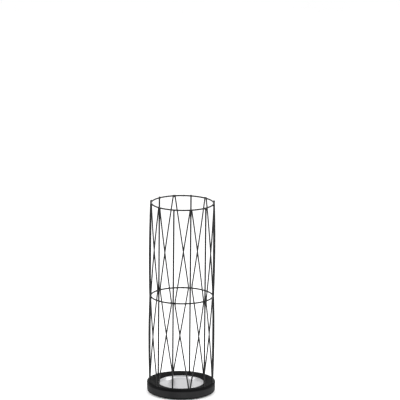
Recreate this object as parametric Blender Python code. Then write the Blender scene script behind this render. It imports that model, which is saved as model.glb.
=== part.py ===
"""Umbrella stand: a round wire cage on a weighted base with a lift-out drip tray.

Metres, +Z up, the floor at z = 0 and the stand's centre line on the Z axis.
Two rings carry six upright posts and six tall diamonds of bent wire, which are
welded to the rings' outer side. The wires stand on the rim of the base.
"""

import bpy
import math

# Driving dimensions.
POST_WIRE = 0.0040           # diameter of an upright post
RING_WIRE = 0.0038           # diameter of the rings' wire
DIAMOND_WIRE = 0.0034        # diameter of the bent wires
RING_RADIUS = 0.0760         # centre line of the two rings
TOP_RING_Z = 0.4781          # height of the top ring's centre line
MIDDLE_RING_Z = 0.2437       # height of the middle ring's centre line
BAYS = 6                     # posts round the cage, and diamonds between them
FIRST_POST_ANGLE = 15.0      # degrees from +X
GAP = 0.0003                 # between pieces that touch

BASE_RADIUS = 0.0843         # at its widest, just under the rim
BASE_RIM_Z = 0.0282          # flat rim that the wires stand on
BASE_DISH = 0.0053           # fall of the top, from the flat rim in to the tray
BASE_SHOULDER = 0.0030       # rounding of the upper outer edge
BASE_LOWER_EDGE = 0.0045     # rounding of the lower outer edge
BASE_DRAFT = 0.0006          # how far the side leans in towards its foot
RIM_WIDTH = 0.0075           # from the base's outer side to where the top starts to dish

PAD_THICKNESS = 0.0020
PAD_INSET = 0.0090           # pad edge inside the base's outer side

TRAY_RADIUS = 0.0560
TRAY_PROUD = 0.0006          # lip above the base's inner edge, for a finger nail
TRAY_DEPTH = 0.0046          # inside, from lip to floor
TRAY_SHEET = 0.0011
TRAY_BEND = 0.0018           # inner bend between the tray's floor and its wall

TURNED_STEPS = 96            # segments round a turned piece
WIRE_RESOLUTION = 4          # 12 sides round a bent wire
BEND_REACH = 0.04            # share of a leg that the bend at a diamond's corner takes up
BEND_STEPS = 4
LEG_STEPS = 5                # a leg follows the round of the cage

# Sizes that follow from them.
POST_CIRCLE = RING_RADIUS + RING_WIRE / 2 + POST_WIRE / 2 + GAP
DIAMOND_CIRCLE = RING_RADIUS + RING_WIRE / 2 + DIAMOND_WIRE / 2 + GAP
WIRE_TOP_Z = TOP_RING_Z + RING_WIRE / 2         # posts end level with the top ring
WIRE_FOOT_Z = BASE_RIM_Z + GAP
BAY_ANGLE = 360.0 / BAYS
BESIDE_PARTNER = math.degrees((DIAMOND_WIRE + GAP) / 2 / DIAMOND_CIRCLE)
BESIDE_POST = math.degrees((POST_WIRE / 2 + DIAMOND_WIRE / 2 + GAP) / DIAMOND_CIRCLE)
INNER_EDGE_Z = BASE_RIM_Z - BASE_DISH
POCKET_RADIUS = TRAY_RADIUS + GAP
TRAY_UNDERSIDE_Z = INNER_EDGE_Z + TRAY_PROUD - TRAY_DEPTH - TRAY_SHEET
POCKET_FLOOR_Z = TRAY_UNDERSIDE_Z - GAP
BASE_UNDERSIDE_Z = PAD_THICKNESS + GAP

# Colour, metallic, roughness.
FINISHES = {
    "black_wire": ((0.018, 0.018, 0.019, 1.0), 0.0, 0.38),
    "black_base": ((0.022, 0.022, 0.024, 1.0), 0.0, 0.30),
    "tray_steel": ((0.62, 0.62, 0.63, 1.0), 1.0, 0.25),
    "foot_rubber": ((0.020, 0.020, 0.020, 1.0), 0.0, 0.80),
}


def clear_scene():
    for item in list(bpy.data.objects):
        bpy.data.objects.remove(item, do_unlink=True)


def make_material(name):
    colour, metallic, roughness = FINISHES[name]
    material = bpy.data.materials.new(name)
    material.use_nodes = True
    material.diffuse_color = colour
    shader = material.node_tree.nodes["Principled BSDF"]
    shader.inputs["Base Color"].default_value = colour
    shader.inputs["Metallic"].default_value = metallic
    shader.inputs["Roughness"].default_value = roughness
    return material


def place(name, data, parent, angle=0.0, z=0.0):
    """Add an object turned about the stand's centre line by an angle in degrees."""
    item = bpy.data.objects.new(name, data)
    item.rotation_euler = (0.0, 0.0, math.radians(angle))
    item.location = (0.0, 0.0, z)
    item.parent = parent
    bpy.context.scene.collection.objects.link(item)
    return item


def arc(centre_r, centre_z, radius, start, end, steps):
    """Points (r, z) on an arc, from a start angle to an end angle in degrees."""
    points = []
    for step in range(steps + 1):
        angle = math.radians(start + (end - start) * step / steps)
        points.append((centre_r + radius * math.cos(angle), centre_z + radius * math.sin(angle)))
    return points


def turned(name, profile, closed, material, parent, z=0.0):
    """Turn a profile of (r, z) points about the Z axis with a Screw modifier."""
    mesh = bpy.data.meshes.new(name)
    edges = [(index, index + 1) for index in range(len(profile) - 1)]
    if closed:
        edges.append((len(profile) - 1, 0))
    mesh.from_pydata([(r, 0.0, height) for r, height in profile], edges, [])
    mesh.materials.append(material)
    item = place(name, mesh, parent, z=z)
    screw = item.modifiers.new("turn", "SCREW")
    screw.axis = "Z"
    screw.angle = math.tau
    screw.steps = TURNED_STEPS
    screw.render_steps = TURNED_STEPS
    screw.use_smooth_shade = True
    screw.use_merge_vertices = True
    screw.merge_threshold = 0.00001
    return item


def add_foot_pad(material, parent):
    radius = BASE_RADIUS - PAD_INSET
    edge = 0.0004
    profile = [(0.0, PAD_THICKNESS)]
    profile += [(radius - edge, PAD_THICKNESS), (radius, PAD_THICKNESS - edge)]
    profile += [(radius, edge), (radius - edge, 0.0), (0.0, 0.0)]
    return turned("foot_pad", profile, False, material, parent)


def add_base(material, parent):
    """Solid disc with a dished top, a flat rim for the wires and a pocket for the tray."""
    edge = 0.0005
    outer = BASE_RADIUS
    profile = [(0.0, POCKET_FLOOR_Z), (POCKET_RADIUS, POCKET_FLOOR_Z)]
    profile += [(POCKET_RADIUS, INNER_EDGE_Z - edge), (POCKET_RADIUS + edge, INNER_EDGE_Z)]
    profile += [(outer - RIM_WIDTH, BASE_RIM_Z)]
    profile += arc(outer - BASE_SHOULDER, BASE_RIM_Z - BASE_SHOULDER, BASE_SHOULDER, 90, 0, 5)
    lower_centre = outer - BASE_DRAFT - BASE_LOWER_EDGE
    profile += arc(lower_centre, BASE_UNDERSIDE_Z + BASE_LOWER_EDGE, BASE_LOWER_EDGE, 0, -90, 6)
    profile += [(0.0, BASE_UNDERSIDE_Z)]
    return turned("weighted_base", profile, False, material, parent)


def add_tray(material, parent):
    """Pressed sheet tray. Its origin is on the line that it lifts along."""
    inner = TRAY_RADIUS - TRAY_SHEET
    lip = TRAY_SHEET + TRAY_DEPTH
    outer_bend = TRAY_BEND + TRAY_SHEET
    profile = [(0.0, TRAY_SHEET)]
    profile += arc(inner - TRAY_BEND, TRAY_SHEET + TRAY_BEND, TRAY_BEND, -90, 0, 4)
    profile += arc(inner + TRAY_SHEET / 2, lip - TRAY_SHEET / 2, TRAY_SHEET / 2, 180, 0, 4)
    profile += arc(TRAY_RADIUS - outer_bend, outer_bend, outer_bend, 0, -90, 4)
    profile += [(0.0, 0.0)]
    return turned("drip_tray", profile, False, material, parent, z=TRAY_UNDERSIDE_Z)


def add_ring(name, height, material, parent):
    section = arc(RING_RADIUS, 0.0, RING_WIRE / 2, 90, -240, 11)
    return turned(name, section, True, material, parent, z=height)


def wire_curve(name, points, diameter, material):
    """A round wire with flat ends along a list of 3-D points."""
    curve = bpy.data.curves.new(name, "CURVE")
    curve.dimensions = "3D"
    curve.bevel_depth = diameter / 2
    curve.bevel_resolution = WIRE_RESOLUTION
    curve.use_fill_caps = True
    spline = curve.splines.new("POLY")
    spline.points.add(len(points) - 1)
    for target, point in zip(spline.points, points):
        target.co = (point[0], point[1], point[2], 1.0)
    curve.materials.append(material)
    return curve


def on_circle(radius, angle, z):
    turn = math.radians(angle)
    return (radius * math.cos(turn), radius * math.sin(turn), z)


def between(start, end, share):
    return tuple(a + (b - a) * share for a, b in zip(start, end))


def bent_wire_points(side):
    """One side of a diamond, for a diamond centred on +X.

    side is +1 or -1. The wire lies on the round of the cage. It starts beside
    its partner at the top ring, runs down to its corner beside the post at the
    middle ring, and on down to the base. Its route is worked out as angle and
    height, with a short parabola that touches both legs at the corner.
    """
    near = side * BESIDE_PARTNER
    far = side * (BAY_ANGLE / 2 - BESIDE_POST)
    top = (near, WIRE_TOP_Z - GAP)
    corner = (far, MIDDLE_RING_Z)
    foot = (near, WIRE_FOOT_Z + GAP)
    bend_start = between(corner, top, BEND_REACH)
    bend_end = between(corner, foot, BEND_REACH)
    route = [between(top, bend_start, step / LEG_STEPS) for step in range(LEG_STEPS)]
    for step in range(BEND_STEPS + 1):
        share = step / BEND_STEPS
        first = between(bend_start, corner, share)
        second = between(corner, bend_end, share)
        route.append(between(first, second, share))
    route += [between(bend_end, foot, (step + 1) / LEG_STEPS) for step in range(LEG_STEPS)]
    return [on_circle(DIAMOND_CIRCLE, angle, z) for angle, z in route]


def add_posts(material, parent):
    ends = [on_circle(POST_CIRCLE, 0.0, WIRE_TOP_Z), on_circle(POST_CIRCLE, 0.0, WIRE_FOOT_Z)]
    curve = wire_curve("post", ends, POST_WIRE, material)
    for bay in range(BAYS):
        place(f"post_{bay + 1}", curve, parent, FIRST_POST_ANGLE + BAY_ANGLE * bay)


def add_diamonds(material, parent):
    for label, side in (("right", -1), ("left", 1)):
        curve = wire_curve(f"diamond_{label}", bent_wire_points(side), DIAMOND_WIRE, material)
        for bay in range(BAYS):
            angle = FIRST_POST_ANGLE + BAY_ANGLE * (bay + 0.5)
            place(f"diamond_{bay + 1}_{label}_wire", curve, parent, angle)


def main():
    clear_scene()
    stand = bpy.data.objects.new("umbrella_stand", None)
    bpy.context.scene.collection.objects.link(stand)
    materials = {name: make_material(name) for name in FINISHES}
    add_foot_pad(materials["foot_rubber"], stand)
    add_base(materials["black_base"], stand)
    add_tray(materials["tray_steel"], stand)
    add_ring("middle_ring", MIDDLE_RING_Z, materials["black_wire"], stand)
    add_ring("top_ring", TOP_RING_Z, materials["black_wire"], stand)
    add_posts(materials["black_wire"], stand)
    add_diamonds(materials["black_wire"], stand)


main()
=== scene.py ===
"""Looks for the umbrella stand: wire cage, weighted base, drip tray and foot pad.

Metres, +Z up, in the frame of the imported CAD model. Every place is worked out
from the CAD boxes, so a piece sits exactly where its CAD node does.
"""

import math

import bpy
from mathutils import Matrix, Vector

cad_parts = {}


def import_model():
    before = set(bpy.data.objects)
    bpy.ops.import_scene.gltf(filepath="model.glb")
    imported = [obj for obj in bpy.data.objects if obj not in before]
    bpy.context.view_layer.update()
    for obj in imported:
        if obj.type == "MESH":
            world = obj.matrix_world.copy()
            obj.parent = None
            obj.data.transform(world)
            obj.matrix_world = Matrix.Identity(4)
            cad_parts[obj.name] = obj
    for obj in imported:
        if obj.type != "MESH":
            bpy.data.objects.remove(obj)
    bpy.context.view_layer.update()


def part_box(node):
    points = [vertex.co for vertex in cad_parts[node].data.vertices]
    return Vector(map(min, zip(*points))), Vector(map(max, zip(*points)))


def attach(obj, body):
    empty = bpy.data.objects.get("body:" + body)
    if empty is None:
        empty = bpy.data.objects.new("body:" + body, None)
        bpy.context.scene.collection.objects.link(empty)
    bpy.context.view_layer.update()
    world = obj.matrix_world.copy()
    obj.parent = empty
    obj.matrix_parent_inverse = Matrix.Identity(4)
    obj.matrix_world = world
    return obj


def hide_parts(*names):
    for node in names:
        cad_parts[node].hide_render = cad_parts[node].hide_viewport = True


# Sizes that the CAD boxes don't tell.
GAP = 0.0003                 # between CAD pieces that touch
POST_WIRE = 0.0040           # diameter of an upright post
DIAMOND_WIRE = 0.0034        # diameter of the bent wires
BEND_REACH = 0.04            # share of a leg taken up by the bend at a diamond's corner
TRAY_SHEET = 0.0011
TRAY_BEND = 0.0018
BASE_SHOULDER = 0.0030       # rounding of the upper outer edge
BASE_LOWER_EDGE = 0.0045     # rounding of the lower outer edge
BASE_DRAFT = 0.0006          # how far the side leans in towards its foot
BASE_DISH = 0.0053           # fall of the base's top, from its flat rim to the tray
RIM_WIDTH = 0.0075           # from the base's outer side to where the top starts to dish
PAINTED_REFLECTION_TOP = 0.0225            # the base's side is painted greyer, a painted reflection of the floor, below this height
PAINTED_REFLECTION_TOP_FADE = 0.0020
PAINTED_REFLECTION_RADIUS = 0.0838         # and outside this radius
PAINTED_REFLECTION_RADIUS_FADE = 0.0006
POCKET_EDGE = 0.0006         # softened edges round the tray's pocket
PAD_EDGE = 0.0004
BAYS = 6

# Mesh fineness.
TURNED_SEGMENTS = 192
WIRE_SIDES = 20
END_ROUNDING = 0.0005        # softened edge at a wire's cut end
LEG_STEPS = 12               # along each leg of a bent wire
BEND_STEPS = 10

# Welds: half sizes along, across and out from the wire.
BEAD_SIDES = 14
BEAD_ROWS = 8
BEAD_UNEVEN = 0.06
BEAD_BELOW_RING = 0.0008
POST_BEAD = (0.0028, 0.0023, 0.0012)
PAIR_BEAD = (0.0030, 0.0036, 0.0012)
POST_COLLAR = (0.0013, 0.0030, 0.0028)
PAIR_COLLAR = (0.0013, 0.0044, 0.0025)
BUTT_WELD_TURN = 0.22        # radians from post 2
BUTT_WELD_LENGTH = 0.0030
BUTT_WELD_PROUD = 0.0004

# Camera: where the stand's middle ring shows in the frame, as shares of the
# frame's width right of and below its centre.
CAMERA_DISTANCE = 9.88
CAMERA_ELEVATION = 15.13
CAMERA_LENS = 362.1
CAMERA_ROLL = 0.467
SUBJECT_RIGHT = -0.0456
SUBJECT_BELOW = 0.2392
SENSOR = 36.0

# Studio.
WORLD_STRENGTH = 0.95
FLOOR_GLOW = 0.14            # brings the floor up to plain white
FLOOR_HALF_SIZE = 60.0
FLOOR_DROP = 0.0002          # keeps the floor off the pad's underside
LIGHTS_AIM = (0.0, 0.0, 0.2)


# ---------------------------------------------------------------- materials

def start_material(name):
    material = bpy.data.materials.new(name)
    material.use_nodes = True
    tree = material.node_tree
    shader = tree.nodes["Principled BSDF"]
    return material, tree, shader


def add_node(tree, kind, **values):
    node = tree.nodes.new(kind)
    for key, value in values.items():
        if key in node.inputs:
            node.inputs[key].default_value = value
        else:
            setattr(node, key, value)
    return node


def object_coordinates(tree):
    return tree.nodes.new("ShaderNodeTexCoord").outputs["Object"]


def noise(tree, vector, scale, detail=2.0, roughness=0.5):
    node = add_node(tree, "ShaderNodeTexNoise", Scale=scale, Detail=detail, Roughness=roughness)
    tree.links.new(vector, node.inputs["Vector"])
    return node.outputs["Fac"]


def spread(tree, value, low, high):
    """Map noise, which keeps near 0.5, onto a range."""
    node = tree.nodes.new("ShaderNodeMapRange")
    node.inputs["From Min"].default_value = 0.3
    node.inputs["From Max"].default_value = 0.7
    node.inputs["To Min"].default_value = low
    node.inputs["To Max"].default_value = high
    tree.links.new(value, node.inputs["Value"])
    return node.outputs["Result"]


def blend_colours(tree, factor, first, second):
    node = tree.nodes.new("ShaderNodeMix")
    node.data_type = "RGBA"
    node.inputs["A"].default_value = (*first, 1.0)
    node.inputs["B"].default_value = (*second, 1.0)
    tree.links.new(factor, node.inputs["Factor"])
    return node.outputs["Result"]


def bump(tree, shader, height, distance, strength):
    node = add_node(tree, "ShaderNodeBump", Strength=strength, Distance=distance)
    tree.links.new(height, node.inputs["Height"])
    tree.links.new(node.outputs["Normal"], shader.inputs["Normal"])


def wire_coating():
    """Black powder coat: fine orange peel with a soft satin sheen."""
    material, tree, shader = start_material("wire_powder_coat")
    place = object_coordinates(tree)
    cloud = spread(tree, noise(tree, place, 55.0, 3.0), 0.0, 1.0)
    colour = blend_colours(tree, cloud, (0.0035, 0.0035, 0.0038), (0.0075, 0.0075, 0.0080))
    tree.links.new(colour, shader.inputs["Base Color"])
    sheen = spread(tree, noise(tree, place, 420.0, 2.0), 0.30, 0.46)
    tree.links.new(sheen, shader.inputs["Roughness"])
    bump(tree, shader, noise(tree, place, 1500.0, 2.0), 0.00006, 0.35)
    shader.inputs["Specular IOR Level"].default_value = 0.22
    return material


def from_axis(tree, place):
    """Distance from the stand's centre line."""
    flat = add_node(tree, "ShaderNodeVectorMath", operation="MULTIPLY")
    flat.inputs[1].default_value = (1.0, 1.0, 0.0)
    tree.links.new(place, flat.inputs[0])
    radius = add_node(tree, "ShaderNodeVectorMath", operation="LENGTH")
    tree.links.new(flat.outputs["Vector"], radius.inputs[0])
    return radius.outputs["Value"]


def ramp(tree, value, start, end):
    """0 before start, 1 past end, smooth in between. end may be below start."""
    node = add_node(tree, "ShaderNodeMapRange", interpolation_type="SMOOTHSTEP")
    node.inputs["From Min"].default_value = start
    node.inputs["From Max"].default_value = end
    tree.links.new(value, node.inputs["Value"])
    return node.outputs["Result"]


def larger(tree, first, second):
    node = add_node(tree, "ShaderNodeMath", operation="MAXIMUM")
    tree.links.new(first, node.inputs[0])
    tree.links.new(second, node.inputs[1])
    return node.outputs["Value"]


def base_enamel():
    """Matt black paint over a casting. Its side is painted greyer than its top and shoulder, a painted
    reflection of the floor, and its top and shoulder are painted blacker as painted shade.
    """
    material, tree, shader = start_material("base_enamel")
    place = object_coordinates(tree)
    height = add_node(tree, "ShaderNodeSeparateXYZ")
    tree.links.new(place, height.inputs[0])
    # Painted reflection and shade: the side below this band and outside this radius gets a greyer
    # colour for the floor it reflects, and the top and shoulder get a blacker one.
    on_shoulder = ramp(tree, height.outputs["Z"], PAINTED_REFLECTION_TOP - PAINTED_REFLECTION_TOP_FADE, PAINTED_REFLECTION_TOP)
    off_side = ramp(tree, from_axis(tree, place), PAINTED_REFLECTION_RADIUS, PAINTED_REFLECTION_RADIUS - PAINTED_REFLECTION_RADIUS_FADE)
    painted_shade_top = larger(tree, on_shoulder, off_side)
    cloud = spread(tree, noise(tree, place, 28.0, 4.0), 0.0, 1.0)
    painted_reflection_grey = blend_colours(tree, cloud, (0.0165, 0.0165, 0.0172), (0.0245, 0.0245, 0.0252))
    black = blend_colours(tree, cloud, (0.0020, 0.0020, 0.0022), (0.0055, 0.0055, 0.0060))
    painted_reflection_colour = tree.nodes.new("ShaderNodeMix")
    painted_reflection_colour.data_type = "RGBA"
    tree.links.new(painted_reflection_grey, painted_reflection_colour.inputs["A"])
    tree.links.new(black, painted_reflection_colour.inputs["B"])
    tree.links.new(painted_shade_top, painted_reflection_colour.inputs["Factor"])
    tree.links.new(painted_reflection_colour.outputs["Result"], shader.inputs["Base Color"])
    sheen = spread(tree, noise(tree, place, 160.0, 3.0), 0.46, 0.62)
    tree.links.new(sheen, shader.inputs["Roughness"])
    bump(tree, shader, noise(tree, place, 420.0, 2.0), 0.00010, 0.22)
    shader.inputs["Specular IOR Level"].default_value = 0.03
    return material


def spun_steel():
    """Stainless sheet, brushed in circles round the tray's centre."""
    material, tree, shader = start_material("spun_steel")
    place = object_coordinates(tree)
    rings = add_node(tree, "ShaderNodeTexNoise", noise_dimensions="1D", Scale=1800.0, Detail=4.0)
    tree.links.new(from_axis(tree, place), rings.inputs["W"])
    marks = spread(tree, rings.outputs["Fac"], 0.0, 1.0)
    colour = blend_colours(tree, marks, (0.60, 0.60, 0.61), (0.72, 0.72, 0.73))
    tree.links.new(colour, shader.inputs["Base Color"])
    shader.inputs["Metallic"].default_value = 1.0
    stains = spread(tree, noise(tree, place, 35.0, 4.0), 0.26, 0.36)
    tree.links.new(stains, shader.inputs["Roughness"])
    bump(tree, shader, rings.outputs["Fac"], 0.00003, 0.25)
    return material


def foot_rubber():
    material, tree, shader = start_material("foot_rubber")
    place = object_coordinates(tree)
    cloud = spread(tree, noise(tree, place, 90.0, 4.0), 0.0, 1.0)
    colour = blend_colours(tree, cloud, (0.012, 0.012, 0.012), (0.028, 0.028, 0.027))
    tree.links.new(colour, shader.inputs["Base Color"])
    dullness = spread(tree, noise(tree, place, 600.0, 2.0), 0.70, 0.88)
    tree.links.new(dullness, shader.inputs["Roughness"])
    bump(tree, shader, noise(tree, place, 1300.0, 3.0), 0.0001, 0.4)
    return material


def floor_paint():
    material, tree, shader = start_material("pale_floor")
    place = object_coordinates(tree)
    cloud = spread(tree, noise(tree, place, 3.0, 3.0), 0.0, 1.0)
    colour = blend_colours(tree, cloud, (0.87, 0.87, 0.87), (0.89, 0.89, 0.89))
    tree.links.new(colour, shader.inputs["Base Color"])
    shader.inputs["Roughness"].default_value = 0.75
    shader.inputs["Specular IOR Level"].default_value = 0.2
    shader.inputs["Emission Color"].default_value = (1.0, 1.0, 1.0, 1.0)
    shader.inputs["Emission Strength"].default_value = FLOOR_GLOW
    return material


# ----------------------------------------------------------------- meshes

def make_object(name, points, faces, material):
    mesh = bpy.data.meshes.new(name)
    mesh.from_pydata(points, [], faces)
    mesh.materials.append(material)
    mesh.validate()
    mesh.shade_smooth()
    mesh.set_sharp_from_angle(angle=math.radians(40))
    item = bpy.data.objects.new(name, mesh)
    bpy.context.scene.collection.objects.link(item)
    return item


def arc(centre_r, centre_z, radius, start, end, steps):
    """Points (r, z) on an arc, from a start angle to an end angle in degrees."""
    points = []
    for step in range(steps + 1):
        angle = math.radians(start + (end - start) * step / steps)
        points.append((centre_r + radius * math.cos(angle), centre_z + radius * math.sin(angle)))
    return points


def turned(name, profile, closed, material, segments=TURNED_SEGMENTS):
    """Turn a profile of (r, z) points about Z. It runs down its outer side."""
    points = []
    rows = []
    for r, z in profile:
        if r == 0.0:
            rows.append([len(points)] * segments)
            points.append((0.0, 0.0, z))
            continue
        rows.append(list(range(len(points), len(points) + segments)))
        for step in range(segments):
            angle = math.tau * step / segments
            points.append((r * math.cos(angle), r * math.sin(angle), z))
    pairs = list(zip(rows, rows[1:]))
    if closed:
        pairs.append((rows[-1], rows[0]))
    faces = []
    for upper, lower in pairs:
        for step in range(segments):
            after = (step + 1) % segments
            corners = [upper[step], lower[step], lower[after], upper[after]]
            faces.append(list(dict.fromkeys(corners)))
    return make_object(name, points, faces, material)


def wire_mesh(path, radius, first_index):
    """Points and faces of a round wire along a path, with softened ends."""
    start_way = (path[1] - path[0]).normalized()
    end_way = (path[-1] - path[-2]).normalized()
    soft = END_ROUNDING
    stations = [(path[0], radius - soft)]
    stations.append((path[0] + start_way * soft * 0.3, radius - soft * 0.3))
    stations.append((path[0] + start_way * soft, radius))
    for point in path[1:-1]:
        stations.append((point, radius))
    stations.append((path[-1] - end_way * soft, radius))
    stations.append((path[-1] - end_way * soft * 0.3, radius - soft * 0.3))
    stations.append((path[-1], radius - soft))
    points = []
    faces = []
    across = start_way.orthogonal().normalized()
    for index, (centre, size) in enumerate(stations):
        before = stations[max(index - 1, 0)][0]
        after = stations[min(index + 1, len(stations) - 1)][0]
        way = (after - before).normalized()
        across = (across - way * across.dot(way)).normalized()
        side = way.cross(across)
        for step in range(WIRE_SIDES):
            angle = math.tau * step / WIRE_SIDES
            points.append(centre + (across * math.cos(angle) + side * math.sin(angle)) * size)
    for row in range(len(stations) - 1):
        low = first_index + row * WIRE_SIDES
        high = low + WIRE_SIDES
        for step in range(WIRE_SIDES):
            after = (step + 1) % WIRE_SIDES
            faces.append((low + step, low + after, high + after, high + step))
    last = first_index + (len(stations) - 1) * WIRE_SIDES
    faces.append(tuple(reversed(range(first_index, first_index + WIRE_SIDES))))
    faces.append(tuple(range(last, last + WIRE_SIDES)))
    return points, faces


def wire(name, path, diameter, material):
    points, faces = wire_mesh(path, diameter / 2, 0)
    return make_object(name, points, faces, material)


# ------------------------------------------------------- sizes from the CAD

def centre_and_size(node):
    low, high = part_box(node)
    low = Vector(low)
    high = Vector(high)
    return (low + high) / 2, high - low


def round_axis(radius, angle, z):
    return Vector((radius * math.cos(angle), radius * math.sin(angle), z))


def ring_sizes(node):
    """Centre-line radius, wire diameter and height of a ring."""
    centre, size = centre_and_size(node)
    return size.x / 2 - size.z / 2, size.z, centre.z


def post_line(node):
    """Angle, circle radius, foot and top of an upright post."""
    centre, size = centre_and_size(node)
    angle = math.atan2(centre.y, centre.x)
    radius = math.hypot(centre.x, centre.y)
    return angle, radius, centre.z - size.z / 2, centre.z + size.z / 2


# ------------------------------------------------------------------ pieces

def finish_piece(piece, node, body):
    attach(piece, body)
    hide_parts(node)


def build_ring(name, node, material):
    radius, diameter, height = ring_sizes(node)
    section = arc(radius, height, diameter / 2, 90, -255, 23)
    piece = turned(name, section, True, material)
    finish_piece(piece, node, "stand")


def build_posts(material):
    for index in range(1, BAYS + 1):
        node = f"post_{index}"
        angle, radius, foot, top = post_line(node)
        path = [round_axis(radius, angle, foot), round_axis(radius, angle, top)]
        piece = wire(f"upright_post_{index}", path, POST_WIRE, material)
        finish_piece(piece, node, "stand")


def between(start, end, share):
    return tuple(a + (b - a) * share for a, b in zip(start, end))


def diamond_circle():
    """Radius of the round that the bent wires' centre lines lie on."""
    ring_radius, ring_wire, _ = ring_sizes("middle_ring")
    return ring_radius + ring_wire / 2 + DIAMOND_WIRE / 2 + GAP


def diamond_path(bay, side):
    """Centre line of one bent wire. side is -1 towards post bay, +1 towards the next."""
    circle = diamond_circle()
    first_angle, _, foot, top = post_line(f"post_{bay}")
    half_bay = math.pi / BAYS
    middle = first_angle + half_bay
    near = middle + side * (DIAMOND_WIRE + GAP) / 2 / circle
    far = middle + side * (half_bay - (POST_WIRE / 2 + DIAMOND_WIRE / 2 + GAP) / circle)
    upper = (near, top - GAP)
    corner = (far, ring_sizes("middle_ring")[2])
    lower = (near, foot + GAP)
    bend_start = between(corner, upper, BEND_REACH)
    bend_end = between(corner, lower, BEND_REACH)
    route = [between(upper, bend_start, step / LEG_STEPS) for step in range(LEG_STEPS)]
    for step in range(BEND_STEPS + 1):
        share = step / BEND_STEPS
        first = between(bend_start, corner, share)
        second = between(corner, bend_end, share)
        route.append(between(first, second, share))
    route += [between(bend_end, lower, (step + 1) / LEG_STEPS) for step in range(LEG_STEPS)]
    return [round_axis(circle, angle, z) for angle, z in route]


def build_diamonds(material):
    for bay in range(1, BAYS + 1):
        for label, side in (("right", -1), ("left", 1)):
            path = diamond_path(bay, side)
            piece = wire(f"bent_wire_{bay}_{label}", path, DIAMOND_WIRE, material)
            finish_piece(piece, f"diamond_{bay}_{label}_wire", "stand")


def bead_mesh(centre, along, size, first_index):
    """Points and faces of one weld bead, a slightly uneven ellipsoid."""
    outward = Vector((centre.x, centre.y, 0.0)).normalized()
    across = along.cross(outward).normalized()
    outward = across.cross(along).normalized()
    points = [centre - along * size[0]]
    for row in range(1, BEAD_ROWS):
        tilt = math.pi * row / BEAD_ROWS - math.pi / 2
        for step in range(BEAD_SIDES):
            turn = math.tau * step / BEAD_SIDES
            wobble = math.sin(3 * turn + 40 * first_index) * math.cos(2 * tilt + first_index)
            reach = math.cos(tilt) * (1.0 + BEAD_UNEVEN * wobble)
            offset = along * math.sin(tilt) * size[0]
            offset += across * math.cos(turn) * reach * size[1]
            offset += outward * math.sin(turn) * reach * size[2]
            points.append(centre + offset)
    points.append(centre + along * size[0])
    faces = []
    last = first_index + len(points) - 1
    end_row = last - BEAD_SIDES
    for step in range(BEAD_SIDES):
        after = (step + 1) % BEAD_SIDES
        faces.append((first_index, first_index + 1 + after, first_index + 1 + step))
        for row in range(BEAD_ROWS - 2):
            low = first_index + 1 + row * BEAD_SIDES
            high = low + BEAD_SIDES
            faces.append((low + step, low + after, high + after, high + step))
        faces.append((end_row + step, end_row + after, last))
    return points, faces


def build_beads(name, beads, material):
    """One visual piece of weld beads. beads lists (centre, direction, half sizes)."""
    points = []
    faces = []
    for centre, along, size in beads:
        more_points, more_faces = bead_mesh(centre, along, size, len(points))
        points += more_points
        faces += more_faces
    piece = make_object(name, points, faces, material)
    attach(piece, "stand")


def build_welds(material):
    """Beads where the wires touch the rings, and collars at their feet."""
    upright = Vector((0.0, 0.0, 1.0))
    circle = diamond_circle()
    for name, node in (("welds_top_ring", "top_ring"), ("welds_middle_ring", "middle_ring")):
        ring_radius, ring_wire, height = ring_sizes(node)
        seam = ring_radius + ring_wire / 2
        beads = []
        for bay in range(1, BAYS + 1):
            post_angle = post_line(f"post_{bay}")[0]
            level = height - BEAD_BELOW_RING
            beads.append((round_axis(seam, post_angle, level), upright, POST_BEAD))
            if node == "top_ring":
                beads.append((round_axis(seam, post_angle + math.pi / BAYS, level), upright, PAIR_BEAD))
        butt_angle = post_line("post_2")[0] + BUTT_WELD_TURN
        along = round_axis(1.0, butt_angle + math.pi / 2, 0.0)
        swelling = (BUTT_WELD_LENGTH, ring_wire / 2 + BUTT_WELD_PROUD, ring_wire / 2 + BUTT_WELD_PROUD)
        beads.append((round_axis(ring_radius, butt_angle, height), along, swelling))
        build_beads(name, beads, material)
    collars = []
    for bay in range(1, BAYS + 1):
        angle, radius, foot, _ = post_line(f"post_{bay}")
        collars.append((round_axis(radius, angle, foot), upright, POST_COLLAR))
        collars.append((round_axis(circle, angle + math.pi / BAYS, foot), upright, PAIR_COLLAR))
    build_beads("welds_at_base", collars, material)


def build_base(material):
    centre, size = centre_and_size("weighted_base")
    tray_centre, tray = centre_and_size("drip_tray")
    outer = size.x / 2
    top = centre.z + size.z / 2
    bottom = centre.z - size.z / 2
    pocket = tray.x / 2 + GAP
    inner_edge = top - BASE_DISH
    pocket_floor = tray_centre.z - tray.z / 2 - GAP
    edge = POCKET_EDGE
    profile = [(0.0, pocket_floor), (pocket - edge, pocket_floor)]
    profile += arc(pocket - edge, pocket_floor + edge, edge, -90, 0, 3)
    profile += arc(pocket + edge, inner_edge - edge, edge, 180, 98, 5)
    profile += [(outer - RIM_WIDTH, top)]
    profile += arc(outer - BASE_SHOULDER, top - BASE_SHOULDER, BASE_SHOULDER, 90, 0, 10)
    lower_centre = outer - BASE_DRAFT - BASE_LOWER_EDGE
    profile += arc(lower_centre, bottom + BASE_LOWER_EDGE, BASE_LOWER_EDGE, 0, -90, 12)
    profile += [(0.0, bottom)]
    piece = turned("cast_base", profile, False, material)
    finish_piece(piece, "weighted_base", "stand")


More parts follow.
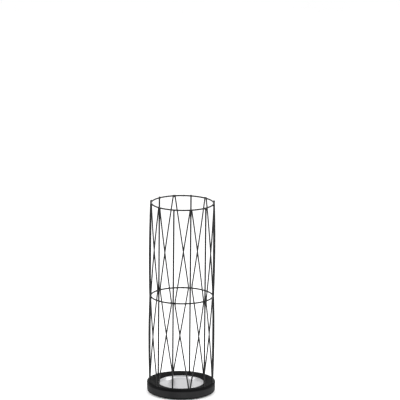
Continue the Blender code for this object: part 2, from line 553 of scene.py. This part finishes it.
def build_tray(material):
    centre, size = centre_and_size("drip_tray")
    radius = size.x / 2
    under = centre.z - size.z / 2
    lip = centre.z + size.z / 2
    inner = radius - TRAY_SHEET
    outer_bend = TRAY_BEND + TRAY_SHEET
    profile = [(0.0, under + TRAY_SHEET)]
    profile += arc(inner - TRAY_BEND, under + TRAY_SHEET + TRAY_BEND, TRAY_BEND, -90, 0, 8)
    profile += arc(inner + TRAY_SHEET / 2, lip - TRAY_SHEET / 2, TRAY_SHEET / 2, 180, 0, 8)
    profile += arc(radius - outer_bend, under + outer_bend, outer_bend, 0, -90, 8)
    profile += [(0.0, under)]
    piece = turned("steel_tray", profile, False, material)
    finish_piece(piece, "drip_tray", "tray")


def build_pad(material):
    centre, size = centre_and_size("foot_pad")
    radius = size.x / 2
    low = centre.z - size.z / 2
    high = centre.z + size.z / 2
    edge = PAD_EDGE
    profile = [(0.0, high)]
    profile += arc(radius - edge, high - edge, edge, 90, 0, 4)
    profile += arc(radius - edge, low + edge, edge, 0, -90, 4)
    profile += [(0.0, low)]
    piece = turned("rubber_pad", profile, False, material)
    finish_piece(piece, "foot_pad", "stand")


# ------------------------------------------------------- camera and lights

def make_camera():
    data = bpy.data.cameras.new("camera")
    data.lens = CAMERA_LENS
    data.sensor_width = SENSOR
    data.clip_end = 200.0
    camera = bpy.data.objects.new("camera", data)
    bpy.context.scene.collection.objects.link(camera)
    subject = Vector((0.0, 0.0, ring_sizes("middle_ring")[2]))
    elevation = math.radians(CAMERA_ELEVATION)
    back = Vector((0.0, -math.cos(elevation), math.sin(elevation)))
    facing = (-back).to_track_quat("-Z", "Y").to_matrix()
    roll = Matrix.Rotation(math.radians(CAMERA_ROLL), 3, "Z")
    reach = CAMERA_LENS / SENSOR
    seen_at = Vector((SUBJECT_RIGHT / reach, -SUBJECT_BELOW / reach, -1.0))
    aim = seen_at.rotation_difference(Vector((0.0, 0.0, -1.0))).to_matrix()
    turn = (facing @ roll @ aim).to_4x4()
    camera.matrix_world = Matrix.Translation(subject + back * CAMERA_DISTANCE) @ turn
    bpy.context.scene.camera = camera


def add_softbox(name, place, width, height, power):
    data = bpy.data.lights.new(name, "AREA")
    data.shape = "RECTANGLE"
    data.size = width
    data.size_y = height
    data.energy = power
    light = bpy.data.objects.new(name, data)
    light.location = place
    light.rotation_mode = "QUATERNION"
    light.rotation_quaternion = (Vector(LIGHTS_AIM) - Vector(place)).to_track_quat("-Z", "Y")
    bpy.context.scene.collection.objects.link(light)


def make_studio():
    world = bpy.data.worlds.new("studio")
    bpy.context.scene.world = world
    world.use_nodes = True
    background = world.node_tree.nodes["Background"]
    background.inputs["Color"].default_value = (1.0, 1.0, 1.0, 1.0)
    background.inputs["Strength"].default_value = WORLD_STRENGTH
    add_softbox("softbox_left", (-1.8, -0.9, 1.6), 1.0, 1.4, 22.0)
    add_softbox("softbox_right", (1.9, -0.6, 1.5), 1.0, 1.4, 26.0)
    add_softbox("softbox_top", (0.0, 0.3, 2.6), 1.6, 1.6, 20.0)
    bpy.context.scene.view_settings.view_transform = "Standard"


def make_floor():
    size = FLOOR_HALF_SIZE
    points = [(-size, -size, 0.0), (size, -size, 0.0), (size, size, 0.0), (-size, size, 0.0)]
    floor = make_object("floor", points, [(0, 1, 2, 3)], floor_paint())
    floor.location.z = -FLOOR_DROP


# ------------------------------------------------------------------- build

def main():
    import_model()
    make_camera()
    make_studio()
    make_floor()
    coating = wire_coating()
    build_ring("upper_ring", "top_ring", coating)
    build_ring("mid_ring", "middle_ring", coating)
    build_posts(coating)
    build_diamonds(coating)
    build_welds(coating)
    build_base(base_enamel())
    build_tray(spun_steel())
    build_pad(foot_rubber())


main()
